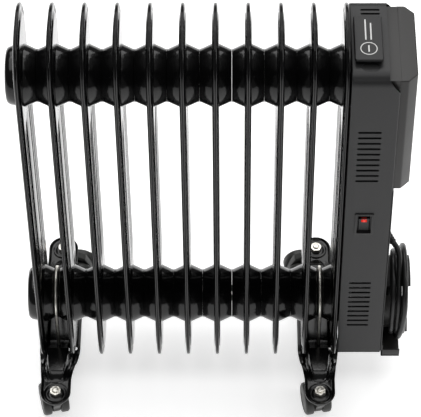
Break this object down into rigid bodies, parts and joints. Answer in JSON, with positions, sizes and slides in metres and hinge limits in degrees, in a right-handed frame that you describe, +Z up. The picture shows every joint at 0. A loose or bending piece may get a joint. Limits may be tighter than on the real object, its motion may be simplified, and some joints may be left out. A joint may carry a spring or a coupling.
{
  "type": "oil filled radiator heater",
  "caption": "Oil filled radiator heater: a row of stamped steel fins, a control housing with a grip, stamped foot plates on casters and a mains cord wound on hooks.",
  "frame": {"origin": "on the floor, under the middle of the box of the object without its cord", "axes": "+X along the headers towards the control housing, -Y is the front with the rocker switch, +Z is up"},
  "size_m": [0.4804, 0.27, 0.609],
  "materials": {
    "gloss_black_paint": "gloss",
    "satin_black_paint": "satin",
    "dark_plastic": "satin",
    "caster_plastic": "satin",
    "zinc": "bright zinc plate",
    "steel": "mill finish",
    "cord_rubber": "matte",
    "red_lens": "gloss, translucent look",
    "board_green": "matte",
    "smoked_window": "gloss"
  },
  "bodies": {
    "radiator": {"fin_01": "gloss_black_paint", "fin_02": "gloss_black_paint", "fin_03": "gloss_black_paint", "fin_04": "gloss_black_paint", "fin_05": "gloss_black_paint", "fin_06": "gloss_black_paint", "fin_07": "gloss_black_paint", "fin_08": "gloss_black_paint", "fin_09": "gloss_black_paint", "fin_10": "gloss_black_paint", "fin_11": "gloss_black_paint", "end_cap_upper": "satin_black_paint", "end_cap_lower": "satin_black_paint", "filler_plug": "steel", "heating_element": "steel", "housing_wrap": "satin_black_paint", "heat_shield": "steel", "end_cover": "satin_black_paint", "base_plate": "satin_black_paint", "top_grip": "dark_plastic", "panel_shell": "dark_plastic", "panel_fascia": "smoked_window", "display_window": "smoked_window", "control_board": "board_green", "switch_frame": "dark_plastic", "thermal_cutout": "steel", "tip_over_switch": "dark_plastic", "foot_plate_left": "gloss_black_paint", "u_bolt_left": "zinc", "wing_nut_left_front": "zinc", "wing_nut_left_rear": "zinc", "foot_plate_right": "gloss_black_paint", "u_bolt_right": "zinc", "wing_nut_right_front": "zinc", "wing_nut_right_rear": "zinc", "stem_front_left": "zinc", "stem_front_right": "zinc", "stem_rear_left": "zinc", "stem_rear_right": "zinc", "cord_hook_upper": "dark_plastic", "cord_hook_lower": "dark_plastic", "strain_relief": "cord_rubber", "cord_lead": "cord_rubber", "cord_coil": "cord_rubber", "cord_tail": "cord_rubber", "plug": "cord_rubber"},
    "rocker": {"rocker": "dark_plastic", "rocker_lens": "red_lens"},
    "button_1": {"button_1": "dark_plastic"},
    "button_2": {"button_2": "dark_plastic"},
    "button_3": {"button_3": "dark_plastic"},
    "button_4": {"button_4": "dark_plastic"},
    "fork_front_left": {"fork_front_left": "caster_plastic"},
    "wheels_front_left": {"wheels_front_left": "caster_plastic"},
    "fork_front_right": {"fork_front_right": "caster_plastic"},
    "wheels_front_right": {"wheels_front_right": "caster_plastic"},
    "fork_rear_left": {"fork_rear_left": "caster_plastic"},
    "wheels_rear_left": {"wheels_rear_left": "caster_plastic"},
    "fork_rear_right": {"fork_rear_right": "caster_plastic"},
    "wheels_rear_right": {"wheels_rear_right": "caster_plastic"}
  },
  "joints": [
    {"name": "rocker_rock", "type": "hinge", "parent": "radiator", "child": "rocker", "pos_m": [0.174, -0.0557, 0.3292], "axis": [-1, 0, 0], "range_deg": [0, 18]},
    {"name": "button_1_press", "type": "slide", "parent": "radiator", "child": "button_1", "axis": [-1, 0, 0], "range_m": [0, 0.001], "stiffness_N_per_m": 300},
    {"name": "button_2_press", "type": "slide", "parent": "radiator", "child": "button_2", "axis": [-1, 0, 0], "range_m": [0, 0.001], "stiffness_N_per_m": 300},
    {"name": "button_3_press", "type": "slide", "parent": "radiator", "child": "button_3", "axis": [-1, 0, 0], "range_m": [0, 0.001], "stiffness_N_per_m": 300},
    {"name": "button_4_press", "type": "slide", "parent": "radiator", "child": "button_4", "axis": [-1, 0, 0], "range_m": [0, 0.001], "stiffness_N_per_m": 300},
    {"name": "swivel_front_left", "type": "hinge", "parent": "radiator", "child": "fork_front_left", "pos_m": [-0.2048, -0.116, 0.05], "axis": [0, 0, 1], "continuous": true},
    {"name": "roll_front_left", "type": "hinge", "parent": "fork_front_left", "child": "wheels_front_left", "pos_m": [-0.20964, -0.09659, 0.021], "axis": [0.9703, 0.2419, 0], "continuous": true},
    {"name": "swivel_front_right", "type": "hinge", "parent": "radiator", "child": "fork_front_right", "pos_m": [0.1282, -0.116, 0.05], "axis": [0, 0, 1], "continuous": true},
    {"name": "roll_front_right", "type": "hinge", "parent": "fork_front_right", "child": "wheels_front_right", "pos_m": [0.12438, -0.09637, 0.021], "axis": [0.9816, 0.1908, 0], "continuous": true},
    {"name": "swivel_rear_left", "type": "hinge", "parent": "radiator", "child": "fork_rear_left", "pos_m": [-0.2048, 0.116, 0.05], "axis": [0, 0, 1], "continuous": true},
    {"name": "roll_rear_left", "type": "hinge", "parent": "fork_rear_left", "child": "wheels_rear_left", "pos_m": [-0.18495, 0.11356, 0.021], "axis": [-0.1219, -0.9925, 0], "continuous": true},
    {"name": "swivel_rear_right", "type": "hinge", "parent": "radiator", "child": "fork_rear_right", "pos_m": [0.1282, 0.116, 0.05], "axis": [0, 0, 1], "continuous": true},
    {"name": "roll_rear_right", "type": "hinge", "parent": "fork_rear_right", "child": "wheels_rear_right", "pos_m": [0.10839, 0.11322, 0.021], "axis": [-0.1392, 0.9903, 0], "continuous": true}
  ]
}
